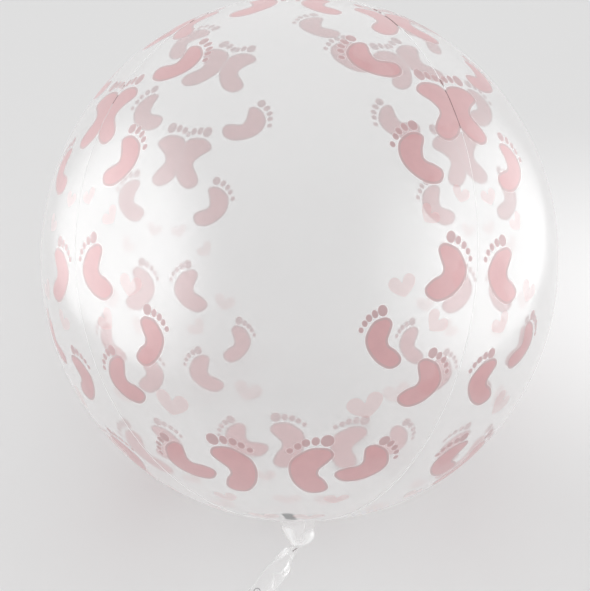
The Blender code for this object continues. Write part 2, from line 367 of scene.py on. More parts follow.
class BalloonFinish(bpy.types.PropertyGroup):
    """Colours and clearness of the film and its print."""

    film: FloatVectorProperty(
        name="Film", description="Colour of the clear film",
        default=(0.865, 0.87, 0.87), size=3, min=0.0, max=1.0, subtype="COLOR")
    film_alpha: FloatProperty(
        name="Film Cover", description="How much of what lies behind the film hides",
        default=0.38, min=0.0, max=1.0, subtype="FACTOR")
    foot: FloatVectorProperty(
        name="Footprint Ink", description="Colour of the footprints",
        default=(0.590, 0.320, 0.328), size=3, min=0.0, max=1.0, subtype="COLOR")
    foot_rim: FloatVectorProperty(
        name="Footprint Rim", description="Colour of the ink's darker rim",
        default=(0.515, 0.345, 0.350), size=3, min=0.0, max=1.0, subtype="COLOR")
    foot_alpha: FloatProperty(
        name="Footprint Cover", description="How dense the footprints' ink is",
        default=0.91, min=0.0, max=1.0, subtype="FACTOR")
    heart: FloatVectorProperty(
        name="Heart Ink", description="Colour of the hearts",
        default=(0.78, 0.58, 0.58), size=3, min=0.0, max=1.0, subtype="COLOR")
    heart_alpha: FloatProperty(
        name="Heart Cover", description="How dense the hearts' ink is",
        default=0.55, min=0.0, max=1.0, subtype="FACTOR")
    weld: FloatVectorProperty(
        name="Weld", description="Colour of the clear weld",
        default=(0.97, 0.975, 0.98), size=3, min=0.0, max=1.0, subtype="COLOR")
    weld_ink: FloatVectorProperty(
        name="Inked Weld", description="Colour of the weld where print runs over it",
        default=(0.32, 0.18, 0.18), size=3, min=0.0, max=1.0, subtype="COLOR")
    valve: FloatVectorProperty(
        name="Valve", description="Colour of the valve's patch",
        default=(0.06, 0.063, 0.063), size=3, min=0.0, max=1.0, subtype="COLOR")


class StageSettings(bpy.types.PropertyGroup):
    """Floor, light and camera."""

    floor: FloatVectorProperty(
        name="Floor", description="Colour of the floor",
        default=(0.80, 0.80, 0.80), size=3, min=0.0, max=1.0, subtype="COLOR")
    sky: FloatProperty(
        name="Room Light", description="Strength of the even light of the room",
        default=0.95, min=0.0)
    side_light: FloatProperty(
        name="Side Panels", description="Strength of the two soft panels that the film mirrors",
        default=5.3, min=0.0)
    back_light: FloatProperty(
        name="Back Light", description="Power of the soft light above and behind the ball",
        default=1.6, min=0.0, unit="POWER")
    # Painted light: strength of the floor's glowing spots, on the right and, at a share, by the
    # ball's bottom
    patch: FloatProperty(
        name="Bright Patch", description="Extra brightness of the floor on the right",
        default=0.20, min=0.0)
    # Painted shadow: how dark the floor is painted under and behind the ball
    shade: FloatProperty(
        name="Soft Shade", description="How much darker the floor is under and behind the ball",
        default=0.70, min=0.0, max=1.0, subtype="FACTOR")
    front_light: FloatProperty(
        name="Front Light", description="Power of the low soft light in front of the neck",
        default=0.40, min=0.0, unit="POWER")
    lens: FloatProperty(
        name="Lens", description="Focal length of the camera",
        default=88.4, min=10.0, unit="CAMERA")
    distance: FloatProperty(
        name="Distance", description="Distance from the camera to the ball's middle",
        default=1.1362, min=0.3, unit="LENGTH")
    tilt: FloatProperty(
        name="Tilt", description="Lean of the view towards the crown",
        default=radians(-2.12), unit="ROTATION")
    roll: FloatProperty(
        name="Roll", description="Roll of the view",
        default=radians(-0.47), unit="ROTATION")


class Amount:
    """A number that varies over a surface. Sums with it add Math nodes."""

    def __init__(self, nodes, socket):
        self.nodes = nodes
        self.socket = socket

    def __add__(self, other):
        return self.nodes.math("ADD", self, other)

    def __radd__(self, other):
        return self.nodes.math("ADD", other, self)

    def __mul__(self, other):
        return self.nodes.math("MULTIPLY", self, other)

    def __rmul__(self, other):
        return self.nodes.math("MULTIPLY", other, self)


class Nodes:
    """Adds nodes to the tree of a material or of the world."""

    def __init__(self, tree):
        self.tree = tree
        tree.nodes.clear()

    def add(self, kind, settings=None, values=None):
        """A node of a type, its settings first and then the values or links of its sockets."""
        node = self.tree.nodes.new(kind)
        for name, value in (settings or {}).items():
            setattr(node, name, value)
        for name, value in (values or {}).items():
            socket = node.inputs[name]
            if isinstance(value, Amount):
                value = value.socket
            if isinstance(value, bpy.types.NodeSocket):
                self.tree.links.new(value, socket)
            else:
                socket.default_value = value
        return node

    def math(self, operation, *numbers):
        """A sum or product of numbers, at least one of which varies."""
        node = self.add("ShaderNodeMath", {"operation": operation}, dict(enumerate(numbers)))
        return Amount(self, node.outputs[0])

    def place(self):
        """Where a point lies on its object."""
        return self.add("ShaderNodeTexCoord").outputs["Object"]

    def along(self, vector, axis):
        """One part of a vector, X, Y or Z."""
        return self.add("ShaderNodeSeparateXYZ", None, {"Vector": vector}).outputs[axis]

    def noise(self, size, detail=2.0):
        """Cloudy noise over the object with features of about a size in metres."""
        cloud = self.add("ShaderNodeTexNoise", None, {
            "Vector": self.place(), "Scale": 1 / size, "Detail": detail})
        return Amount(self, cloud.outputs["Fac"])

    def soft(self, value, low=0.0, high=1.0):
        """0 up to a low value and 1 from a high one, with a soft way between."""
        node = self.add("ShaderNodeMapRange", {"interpolation_type": "SMOOTHSTEP"}, {
            "Value": value, "From Min": low, "From Max": high})
        return Amount(self, node.outputs[0])

    def round_spot(self, place, full=1.0):
        """0 at a distance of 1 and more, and 1 where the way in from there reaches full."""
        fall = self.add("ShaderNodeTexGradient", {"gradient_type": "SPHERICAL"}, {
            "Vector": place})
        return self.soft(fall.outputs["Fac"], 0.0, full)

    def blend(self, share, first, second):
        """A colour between two colours."""
        node = self.add("ShaderNodeMix", {"data_type": "RGBA"}, {
            "Factor": share, 6: (*first, 1.0), 7: (*second, 1.0)})
        return node.outputs[2]

    def bump(self, height, depth):
        """Relief of a depth in metres."""
        return self.add("ShaderNodeBump", None, {
            "Height": height, "Distance": depth, "Strength": 1.0}).outputs[0]

    def surface(self, values):
        """The shader of a surface."""
        shader = self.add("ShaderNodeBsdfPrincipled", None, values)
        self.add("ShaderNodeOutputMaterial", None, {"Surface": shader.outputs[0]})


def shade(colour, factor):
    """A colour made lighter or darker."""
    return tuple(min(1.0, part * factor) for part in colour)


def new_material(name):
    """An empty material and the nodes to fill it with."""
    material = bpy.data.materials.new(name)
    material.use_nodes = True
    return material, Nodes(material.node_tree)


def film_material(name, colour, alpha, roughness=0.16, level=1.0, ripple=0.00012, painted_glow=0.0):
    """Thin glossy film: a faint haze, a gloss that is softer in places, and where asked a faint
    white painted glow.

    Without an alpha, the mesh's own cover says how much the gathered film hides.
    """
    material, nodes = new_material(name)
    if alpha is None:
        alpha = nodes.add("ShaderNodeAttribute", {"attribute_name": "cover"}).outputs["Fac"]
    cloud = nodes.noise(0.060, 3.0)
    fine = nodes.noise(0.011, 2.0)
    nodes.surface({
        "Base Color": nodes.blend(cloud, shade(colour, 0.97), shade(colour, 1.03)),
        "Roughness": roughness + 0.08 * fine,
        "Specular IOR Level": level,
        "Sheen Weight": 1.0,
        "Sheen Roughness": 0.40,
        # Painted glow: white light that the film gives off, though it is no lamp
        "Emission Color": (1.0, 1.0, 1.0, 1.0),
        "Emission Strength": painted_glow,
        "Alpha": alpha,
        "Normal": nodes.bump(fine + 0.5 * cloud, ripple),
    })
    return material


def ink_material(name, colour, alpha, level, painted_glow=0.0):
    """Printed ink: nearly even, with a slight mottle, and where asked a faint pink painted glow
    that stands in for light.
    """
    material, nodes = new_material(name)
    mottle = nodes.noise(0.009, 4.0)
    grain = nodes.noise(0.0011, 2.0)
    share = 0.75 * mottle + 0.25 * grain
    nodes.surface({
        "Base Color": nodes.blend(share, shade(colour, 0.90), shade(colour, 1.10)),
        "Roughness": 0.28 + 0.12 * grain,
        "Specular IOR Level": level,
        "Sheen Weight": 0.4,
        "Sheen Roughness": 0.60,
        # Painted glow: pink light that the ink gives off, though it is no lamp
        "Emission Color": (1.0, 0.35, 0.42, 1.0),
        "Emission Strength": painted_glow,
        "Alpha": alpha,
        "Normal": nodes.bump(grain, 0.00004),
    })
    return material


def put(name, data):
    """A new object in the scene."""
    thing = bpy.data.objects.new(name, data)
    bpy.context.scene.collection.objects.link(thing)
    return thing


def add_piece(name, mesh, materials, node):
    """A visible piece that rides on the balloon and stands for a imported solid."""
    piece = put(name, mesh)
    for material in materials:
        mesh.materials.append(material)
    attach(piece, "root")
    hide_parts(node)


def finished(work, name, smooth=True):
    """The mesh that was worked on, with its faces turned outwards."""
    if not work.faces:
        raise RuntimeError(name + " came out empty")
    bmesh.ops.recalc_face_normals(work, faces=work.faces)
    mesh = bpy.data.meshes.new(name)
    work.to_mesh(mesh)
    work.free()
    if smooth:
        mesh.shade_smooth()
    return mesh


def band(work, before, after):
    """A closed band of faces between two rings of points."""
    following = [(i + 1) % len(before) for i in range(len(before))]
    return [work.faces.new((before[i], before[j], after[j], after[i]))
            for i, j in enumerate(following)]


def circle(count):
    """Even angles round a circle."""
    return [2 * pi * i / count for i in range(count)]


def to_sheet(latitude, turn):
    """A point of the unit ball on the flat sheet in which a gore is cut, true in its angles."""
    x, y, z = cos(latitude) * sin(turn), sin(latitude), cos(latitude) * cos(turn)
    return Vector((2 * x / (1 + z), 2 * y / (1 + z)))


def from_sheet(point):
    """Latitude and turn of a point of the flat sheet."""
    square = point.length_squared
    z = (4 - square) / (4 + square)
    x, y = point.x * (1 + z) / 2, point.y * (1 + z) / 2
    return asin(max(-1.0, min(1.0, y))), atan2(x, z)


def around(latitude, turn, heading, ahead, aside):
    """The point of the unit ball that lies ahead and aside of another, given a heading."""
    distance = sqrt(ahead**2 + aside**2)
    if not distance:
        return latitude, turn
    bearing = heading + atan2(aside, ahead)
    lift = sin(latitude) * cos(distance) + cos(latitude) * sin(distance) * cos(bearing)
    swing = atan2(sin(bearing) * sin(distance) * cos(latitude),
                  cos(distance) - sin(latitude) * lift)
    return asin(max(-1.0, min(1.0, lift))), turn + swing


def rounded(corners, steps):
    """A closed smooth curve through corners."""
    curve = []
    count = len(corners)
    for i in range(count):
        before, start, end, after = (Vector(corners[(i + k) % count]) for k in (-1, 0, 1, 2))
        for step in range(steps):
            t = step / steps
            curve.append(0.5 * (
                2 * start + (end - before) * t
                + (2 * before - 5 * start + 4 * end - after) * t**2
                + (3 * start - before - 3 * end + after) * t**3))
    return curve


def runs_left(outline):
    """Whether a closed outline runs round to the left."""
    return sum(a.x * b.y - b.x * a.y for a, b in zip(outline, outline[1:] + outline[:1])) > 0


def grown(outline, margin):
    """A closed outline moved outwards by a margin."""
    way = 1 if runs_left(outline) else -1
    moved = []
    for i, point in enumerate(outline):
        along = (outline[(i + 1) % len(outline)] - outline[i - 1]).normalized()
        moved.append(point + Vector((along.y, -along.x)) * way * margin)
    return moved


def foot_outlines(stamp):
    """Sole and toes of one footprint."""
    sole, toes = stamp
    outlines = [rounded(sole, SOLE_STEPS)]
    for ahead, aside, half_width, half_length in toes:
        outlines.append([
            Vector((ahead + half_length * cos(a), aside + half_width * sin(a)))
            for a in circle(TOE_CORNERS)])
    return outlines


def heart_outline():
    """A heart of width 1, as (up, out)."""
    right = [(up, out) for out, up in HALF_HEART]
    left = [(up, -out) for up, out in right[:0:-1]]
    return rounded(right + left, HEART_STEPS)


def foot_print(foot, side, step):
    """The outlines of one footprint on the ball: its ink, the ink's rim and the pale edge."""
    latitude, turn, length, heading, hand, stamp = foot
    size = radians(length)
    shapes = []
    for i, outline in enumerate(foot_outlines(stamp)):
        layers = [(FOOT_RIM, RIM_REACH), (INK_EDGE, EDGE_REACH)]
        if i == 0:
            # Only the sole has ink inside its rim: the toes are as dark as the rim all over
            layers.insert(0, (FOOT_INK, SOLE_INSET))
        for ink, reach in layers:
            shapes.append((ink, [
                around(radians(latitude), side * radians(turn), side * radians(heading),
                       (p.x + 0.5) * size, side * p.y * size * hand)
                for p in grown(outline, reach * step / size)]))
    return shapes


def print_outlines(radius, gore):
    """The print of a gore as closed outlines of (latitude, turn), each with its ink."""
    step = PRINT_STEP / radius
    shapes = []
    for foot in CROWN_FEET[gore]:
        shapes += foot_print(foot, 1, step)
    for side in (1, -1):
        for foot in FEET:
            shapes += foot_print(foot, side, step)
        for latitude, turn, width, lean in HEARTS:
            size = radians(width)
            shapes.append((HEART_INK, [
                around(radians(latitude), side * radians(turn), -side * radians(lean),
                       p.x * size, p.y * size) for p in heart_outline()]))
    return shapes


def gore_rows(shape):
    """Lowest latitude of a gore and the number of its rows by a seam."""
    low = shape.neck_top()
    return low, round((pi / 2 - low) / SEAM_STEP)


def column_turns(middle=0.0):
    """Turns of the points where a gore meets the neck, from its left seam to its right one."""
    return [middle + HALF_GORE * (2 * i / NECK_COLUMNS - 1) for i in range(NECK_COLUMNS + 1)]


def gore_border(shape):
    """The edge of a gore on the sheet: neck, right seam, crown and left seam."""
    low, rows = gore_rows(shape)
    border = [(low, turn) for turn in column_turns()[:-1]]
    border += [(low + (pi / 2 - low) * i / rows, HALF_GORE) for i in range(rows)]
    border.append((pi / 2, 0.0))
    border += [(pi / 2 - (pi / 2 - low) * i / rows, -HALF_GORE) for i in range(1, rows)]
    return border


def gore_grid(shape):
    """Points inside a gore: close along the seams and round the poles, wider elsewhere."""
    low, rows = gore_rows(shape)
    grid = []
    for row in range(1, rows):
        latitude = low + (pi / 2 - low) * (row + 0.5) / rows
        for away, stride in SEAM_COLUMNS:
            turn = HALF_GORE - away / cos(latitude)
            if row % stride == 0 and turn > away / cos(latitude):
                grid += [(latitude, turn), (latitude, -turn)]
    latitude = low + POLE_ROOM
    row = 0
    while latitude < pi / 2 - POLE_ROOM:
        pole = min(latitude - low, pi / 2 - latitude)
        step = POLE_STEP + WIDER_STEP * min(max((pole - 0.04) / 0.20, 0.0), 1.0)
        seam_room = 0.075 if cos(latitude) > 0.25 else 0.006
        room = HALF_GORE * cos(latitude) - seam_room
        count = int(room / step)
        for i in range(-count, count + 1):
            across = (i + 0.5 * (row % 2)) * step
            if abs(across) < room:
                grid.append((latitude, across / cos(latitude)))
        # Rows of even triangles lie closer than the points along them
        latitude += 0.87 * step
        row += 1
    return grid


def cut_gore(shape, gore):
    """A gore cut along its print: points as (latitude, turn), and triangles with their ink."""
    points = [to_sheet(*place) for place in gore_border(shape)]
    faces = [list(range(len(points)))]
    inks = [None]
    for ink, outline in print_outlines(shape.radius, gore):
        face = list(range(len(points), len(points) + len(outline)))
        corners = [to_sheet(*place) for place in outline]
        points += corners
        faces.append(face if runs_left(corners) else face[::-1])
        inks.append(ink)
    edges = kdtree.KDTree(len(points))
    for i, point in enumerate(points):
        edges.insert(point.to_3d(), i)
    edges.balance()
    for place in gore_grid(shape):
        point = to_sheet(*place)
        if edges.find(point.to_3d())[2] > CLEAR_OF_CUTS:
            points.append(point)
    inside_only, same_point = 1, 1e-7
    cut = geometry.delaunay_2d_cdt(points, [], faces, inside_only, same_point)
    places = []
    for point in cut[0]:
        latitude, turn = from_sheet(point)
        if abs(abs(turn) - HALF_GORE) * cos(latitude) < ON_SEAM or abs(turn) > HALF_GORE:
            turn = HALF_GORE if turn > 0 else -HALF_GORE
        places.append((latitude, turn))
    triangles = []
    # Where layers of the print overlap, the first of these shows
    order = (FOOT_INK, FOOT_RIM, HEART_INK, INK_EDGE)
    for corners, sources in zip(cut[2], cut[5]):
        if 0 in sources:
            found = {inks[source] for source in sources}
            triangles.append((corners, next((ink for ink in order if ink in found), FILM)))
    return places, triangles


def neck_rings(shape):
    """Radius and height of the neck's rings, with how far down the neck each one is."""
    rings = []
    corner = shape.line_point(shape.neck_top())
    for i in range(1, FILLET_RINGS + 1):
        angle = pi / 2 * i / FILLET_RINGS
        rings.append((corner[0] - shape.neck_fillet * sin(angle),
                      corner[1] - shape.neck_fillet * (1 - cos(angle)), 0.0))
    for i in range(1, NECK_RINGS + 1):
        share = i / NECK_RINGS
        radius = shape.pinch_radius + (shape.neck_radius - shape.pinch_radius) * (1 - share**1.4)
        rings.append((radius, shape.neck_start() - shape.neck_length * share, share))
    return rings


def neck_point(shape, ring, turn):
    """A point of the gathered neck: two big folds with a valley between, fuller on the right."""
    radius, height, share = ring
    azimuth = shape.azimuth(turn)
    gather = min(share * 2.2, 1.0) ** 0.7
    behind = 0.5 - 0.5 * cos(azimuth)
    pleat = 0.5 - 0.5 * cos(9 * azimuth + 1.5 * sin(azimuth + 0.6))
    radius += BULGE * (share**1.5 - share**5) * max(0.0, sin(azimuth)) ** 0.5
    radius *= 1 - gather * (VALLEY_DEPTH * bell(azimuth, VALLEY, VALLEY_REACH)
                            + (FRONT_PLEATS + MORE_BEHIND * behind) * pleat)
    return shape.upright(radius, height, turn)


def neck_cover(shape, share, turn):
    """How much the neck's white film hides: most on its two folds, partly for their layers and
    partly as a painted highlight, and where it is drawn together.
    """
    azimuth = shape.azimuth(turn)
    left = bell(azimuth, LEFT_FOLD, FOLD_REACH) * smooth_share(share / 0.25)
    right = bell(azimuth, RIGHT_FOLD, FOLD_REACH) * smooth_share((share - 0.15) / 0.3)
    bottom = smooth_share((share - 0.72) / 0.25)
    # On the folds the white cover is partly layers of film and partly a painted highlight
    return CLEAR_COVER + FOLD_LAYERS_AND_HIGHLIGHT * max(left, right, BOTTOM_SHARE * bottom)


def envelope_mesh(shape):
    """The whole printed skin with its neck, closed at the pinch."""
    skin = bmesh.new()
    cover = skin.verts.layers.float.new("cover")
    rings = neck_rings(shape)
    for gore in range(GORES):
        places, triangles = cut_gore(shape, gore)
        middle = gore * 2 * HALF_GORE
        verts = [skin.verts.new(shape.laid(shape.skin_point(latitude, middle + turn)))
                 for latitude, turn in places]
        for corners, ink in triangles:
            skin.faces.new([verts[i] for i in corners]).material_index = ink
        turns = column_turns(middle)
        before = [skin.verts.new(shape.laid(shape.skin_point(shape.neck_top(), turn)))
                  for turn in turns]
        for vert in before:
            vert[cover] = TOP_COVER
        for ring in rings:
            row = [skin.verts.new(shape.laid(neck_point(shape, ring, turn))) for turn in turns]
            for vert, turn in zip(row, turns):
                vert[cover] = neck_cover(shape, ring[2], turn)
            for i in range(NECK_COLUMNS):
                face = skin.faces.new((before[i], row[i], row[i + 1], before[i + 1]))
                face.material_index = GATHERED
            before = row
        tip = skin.verts.new(shape.laid(Vector((0.0, 0.0, -shape.pinch_depth()))))
        tip[cover] = TIP_COVER
        for i in range(NECK_COLUMNS):
            skin.faces.new((before[i], tip, before[i + 1])).material_index = GATHERED
    same_place, no_length = 0.000004, 0.000002
    bmesh.ops.remove_doubles(skin, verts=skin.verts, dist=same_place)
    bmesh.ops.dissolve_degenerate(skin, dist=no_length, edges=skin.edges)
    return finished(skin, "envelope film")


def inked_latitudes(shape):
    """Stretches of the seam that the footprints run over, as (from, to) pairs."""
    stretches = []
    for ink, outline in print_outlines(shape.radius, 0):
        if ink != FOOT_RIM:
            continue
        crossings = []
        for a, b in zip(outline, outline[1:] + outline[:1]):
            if (a[1] - HALF_GORE) * (b[1] - HALF_GORE) < 0:
                share = (HALF_GORE - a[1]) / (b[1] - a[1])
                crossings.append(a[0] + (b[0] - a[0]) * share)
        if len(crossings) > 1:
            stretches.append((min(crossings), max(crossings)))
    return stretches


def weld_mesh(shape):
    """The four welds: flat beads along the valleys, inked where the print runs over them."""
    inked = inked_latitudes(shape)
    welds = bmesh.new()
    low, high = shape.neck_top() + radians(0.3), radians(89.2)
    rows = round((high - low) / WELD_STEP)
    aim = 0.002
    for gore in range(GORES):
        turn = (2 * gore + 1) * HALF_GORE
        before = None
        for row in range(rows + 1):
            latitude = low + (high - low) * row / rows
            centre = shape.skin_point(latitude, turn)
            ahead = (shape.skin_point(latitude + aim, turn)
                     - shape.skin_point(latitude - aim, turn)).normalized()
            out = (centre.normalized() - ahead * centre.normalized().dot(ahead)).normalized()
            across = ahead.cross(out)
            taper = min(1.0, min(row, rows - row) / 4 + 0.25)
            taper *= THIN_WELD + (1 - THIN_WELD) * sin(latitude) ** 2
            uneven = 1 + 0.25 * noise.noise(Vector((latitude * 60, gore * 5.0, 0.0)))
            half = shape.weld_width / 2 * taper * uneven
            ring = []
            for angle in circle(WELD_SIDES):
                rise = shape.weld_height * taper * (0.5 * sin(angle) + 0.25)
                ring.append(welds.verts.new(shape.laid(
                    centre + across * half * cos(angle) + out * rise)))
            if before:
                ink = any(b - (b - a) * SEAM_INK[gore] < latitude <= b for a, b in inked)
                for face in band(welds, before, ring):
                    face.material_index = 1 if ink else 0
            else:
                welds.faces.new(ring)
            before = ring
        welds.faces.new(before[::-1])
    return finished(welds, "seam welds")


def smooth_share(value):
    """0 to 1 with a soft start and end."""
    value = min(max(value, 0.0), 1.0)
    return value * value * (3 - 2 * value)


def shares(length, step=0.0012):
    """Even shares from 0 to 1 for a stretch."""
    count = max(2, round(length / step))
    return [i / count for i in range(count + 1)]


def tail_line(shape, tail):
    """Middle line of the tail from the pinch to its flat end, as points and directions."""
    axis = shape.lean().to_3x3() @ Vector((0.0, 0.0, -1.0))
    pinch = shape.lean() @ Vector((0.0, 0.0, -shape.pinch_depth() - 0.0003))
    left, down = Vector((-1.0, 0.0, 0.0)), Vector((0.0, 0.0, -1.0))
    line = []
    for share in shares(tail.root_bend * tail.swing):
        angle = tail.swing * share
        point = pinch + (axis * sin(angle) + left * (1 - cos(angle))) * tail.root_bend
        line.append((point, axis * cos(angle) + left * sin(angle)))
    start, hang = line[-1]
    flat = Vector((hang.x, hang.y, 0.0)).normalized()
    dip = atan(-hang.z / sqrt(hang.x**2 + hang.y**2))
    drop = start.z - tail.thickness / 2
    bend = min(tail.floor_bend, 0.9 * drop / (1 - cos(dip)))
    straight = (drop - bend * (1 - cos(dip))) / sin(dip)
    line += [(start + hang * straight * s, hang) for s in shares(straight)[1:]]
    knee = start + hang * straight
    for share in shares(bend * dip)[1:]:
        angle = dip * (1 - share)
        point = knee + flat * bend * (sin(dip) - sin(angle)) + down * bend * (cos(angle) - cos(dip))
        line.append((point, flat * cos(angle) + down * sin(angle)))
    touch = line[-1][0]
    line += [(touch + flat * tail.tab * s, flat) for s in shares(tail.tab, 0.002)[1:]]
    return line


def tail_edges(tail, travelled):
    """Reach of the tail's left and right edge at a way from the pinch."""
    widen = tail.width / DRAWN_WIDTH
    for (start, *before), (end, *after) in zip(TAIL_EDGES, TAIL_EDGES[1:]):
        if travelled <= end:
            share = (travelled - start) / (end - start)
            return [(a + (b - a) * share) * widen for a, b in zip(before, after)]
    raise ValueError("the tail is longer than its drawn edges")


def tail_cover(travelled, u):
    """How much the tail's film hides: most in its stem, on two painted glints and along a crease.
    """
    clear, stem_cover, glint_cover, crease_cover, edge_cover = TAIL_COVERS
    stem = 1 - smooth_share((travelled - 0.004) / 0.012)
    # Painted glints: the white film hides most on two spots where a gloss would shine
    glint = max(bell(travelled, way, length) * bell(u, place, reach)
                for way, length, place, reach in (LEFT_GLINT, RIGHT_GLINT))
    crease_way = 0.029
    crease_place = 0.55 - 0.75 * bell(travelled, crease_way, 0.005)
    crease = bell(u, crease_place, 0.09) * bell(travelled, crease_way, 0.009)
    edge = smooth_share((abs(u) - 0.90) / 0.10)
    return (clear + stem_cover * stem + glint_cover * glint + crease_cover * crease
            + edge_cover * edge)


def tail_section(reach, thickness, travelled, room):
    """Outline of the folded tube as (across, up, share across): front layer, then back one."""
    pleat_depth, fold_depth, fold_drop, ripple_depth, stem_gap = (
        0.0011, 0.0030, 0.0016, 0.0006, 0.0022)
    gathered = 1 - smooth_share(travelled / 0.014)
    settled = smooth_share(room / 0.030)
    left, right = reach
    half_width = (left + right) / 2
    front, back = [], []
    count = 30
    for i in range(count + 1):
        u = -1 + 2 * i / count
        pleats = gathered * pleat_depth * cos(9 * u + 1.0)
        valley = abs(u - 0.25 + 0.10 * sin(60 * travelled))
        fold = settled * (fold_depth * valley - fold_drop)
        ripple = settled * ripple_depth * sin(5 * u + 170 * travelled)
        middle = (pleats + fold * (1 - gathered) + ripple) * min(1.0, half_width / 0.006)
        open_share = sqrt(max(0.0, 1 - abs(u) ** 3))
        gap = (thickness / 2 + stem_gap * gathered) * open_share
        across = u * half_width + (right - left) / 2
        front.append((across, middle + gap, u))
        back.append((across, middle - gap, u))
    return front + back[-2:0:-1]


def hole_loop(rings, lengths, middle, tail, front):
    """Points round the filling hole, on the tail's front layer."""
    loop = []
    for angle in circle(20):
        along = lengths[middle] + tail.hole_radius * cos(angle)
        k = next(k for k in range(1, len(lengths)) if lengths[k] >= along)
        share = (along - lengths[k - 1]) / (lengths[k] - lengths[k - 1])
        left, right = tail_edges(tail, along)
        across = (tail.hole_radius * sin(angle) - tail.hole_side + left) / (left + right) * front
        j = int(across)
        corners = [rings[a][b].co for a in (k - 1, k) for b in (j, j + 1)]
        near, far = (a.lerp(b, across - j) for a, b in (corners[:2], corners[2:]))
        loop.append(near.lerp(far, share))
    return loop


def tail_mesh(shape, tail):
    """The filling sleeve's tail, which hangs out of the neck and lies down flat at its end."""
    tube = bmesh.new()
    cover = tube.verts.layers.float.new("cover")
    rings = []
    line = tail_line(shape, tail)
    lengths = [0.0]
    for (a, _), (b, _) in zip(line, line[1:]):
        lengths.append(lengths[-1] + (b - a).length)
    for (point, ahead), travelled in zip(line, lengths):
        across = Vector((0.0, 0.0, 1.0)).cross(ahead).normalized()
        up = ahead.cross(across)
        room = lengths[-1] - travelled
        ring = []
        reach, film = tail_edges(tail, travelled), 0.6 * tail.thickness
        for a, b, u in tail_section(reach, film, travelled, room):
            place = point + across * a + up * b
            place.z = max(place.z, 0.0)
            ring.append(tube.verts.new(place))
            ring[-1][cover] = min(1.0, tail_cover(travelled, u))
        rings.append(ring)
    front = len(rings[0]) // 2
    for before, after, travelled in zip(rings, rings[1:], lengths):
        # Faces of the front layer near the pinch take the dark painted shadow of the folds
        half_shadow = FOLD_SHADOW_HALF_WIDTH - FOLD_SHADOW_TAPER * travelled
        faces = band(tube, before, after)
        if FOLD_SHADOW_START < travelled < FOLD_SHADOW_END:
            for i, face in enumerate(faces[:front]):
                if abs(2 * (i + 0.5) / front - 1 - FOLD_SHADOW_PLACE) < half_shadow:
                    face.material_index = 1
    middle = next(i for i, travelled in enumerate(lengths) if travelled > tail.hole_place)
    add_bead(tube, hole_loop(rings, lengths, middle, tail, front), HOLE_BEAD, 2)
    tube.faces.new(rings[0][::-1])
    tube.faces.new(rings[-1])
    bmesh.ops.triangulate(tube, faces=[f for f in tube.faces if len(f.verts) > 4])
    return finished(tube, "filling tail")


def inner_mesh(shape, tail):
    """The stretch of sleeve inside the neck, which widens to its open end, cut on a slant."""
    lean = shape.lean()
    narrow, low, steps = 0.0022, 0.001, 14
    start_gap, less_gap, slant_depth, wave_height = 0.0015, 0.0009, 0.0052, 0.0006
    tube = bmesh.new()
    before = None
    for step in range(steps + 1):
        share = step / steps
        half = narrow + (tail.inner_width / 2 - narrow) * smooth_share(share * 1.2)
        gap = start_gap - less_gap * share
        ring = []
        for angle in circle(28):
            x = half * cos(angle) + tail.inner_shift * share
            slant = slant_depth * smooth_share((x + 0.0030) / 0.0095) * share
            height = -shape.pinch_depth() + low + (tail.inner_length - low) * share - slant
            wave = wave_height * share * sin(3 * angle)
            ring.append(lean @ Vector((x, gap * sin(angle) + wave, height)))
        verts = [tube.verts.new(place) for place in ring]
        if before:
            band(tube, before, verts)
        else:
            tube.faces.new(verts)
        before = verts
    tube.faces.new(before[::-1])
    # A white, dense bead along the cut end: the film's cut edge, its white partly a painted
    # highlight
    add_bead(tube, ring, CUT_BEAD, 1)
    return finished(tube, "inner sleeve")


def add_bead(target, loop, radius, slot):
    """A thin round bead along a closed loop of points, in a material slot of the mesh."""
    count, sides = len(loop), 6
    rings = []
    for i, point in enumerate(loop):
        along = (loop[(i + 1) % count] - loop[i - 1]).normalized()
        side = along.orthogonal().normalized()
        other = along.cross(side)
        if rings:
            side = (last - along * last.dot(along)).normalized()
            other = along.cross(side)
        last = side
        rings.append([target.verts.new(point + (side * cos(a) + other * sin(a)) * radius)
                      for a in circle(sides)])
    for i, ring in enumerate(rings):
        after = rings[(i + 1) % count]
        # The last ring meets the first where their corners lie closest
        shift = 0
        if i == count - 1:
            shift = min(range(sides), key=lambda k: (after[k].co - ring[0].co).length)
        for k in range(sides):
            face = target.faces.new((
                ring[k], ring[(k + 1) % sides],
                after[(k + 1 + shift) % sides], after[(k + shift) % sides]))
            face.material_index = slot


def patch_mesh(shape, tail):
    """The valve's patch: a small slanting plate on the front of the sleeve's inner end."""
    lean = shape.lean()
    half_width, height, thick = 0.0041, 0.0046, 0.0005
    left, slant, stand_off, bulge = -0.0084, 0.0040, 0.0016, 0.0006
    rows, columns = 3, 8
    top = -shape.pinch_depth() + tail.inner_length
    plate = bmesh.new()
    rims = []
    for front in (stand_off, stand_off - thick):
        grid = []
        for row in range(rows + 1):
            v = row / rows
            line = []
            for column in range(columns + 1):
                u = -1 + 2 * column / columns
                x = left + half_width * u + slant * (1 - v)
                y = -front - bulge * cos(pi / 2 * u)
                line.append(plate.verts.new(lean @ Vector((x, y, top - height * (1 - v)))))
            grid.append(line)
        for low, high in zip(grid, grid[1:]):
            for i in range(columns):
                plate.faces.new((low[i], low[i + 1], high[i + 1], high[i]))
        rims.append([*grid[0], *(row[-1] for row in grid[1:]), *grid[-1][-2::-1],
                     *(row[0] for row in grid[-2:0:-1])])
    band(plate, *rims)
    return finished(plate, "valve patch", smooth=False)


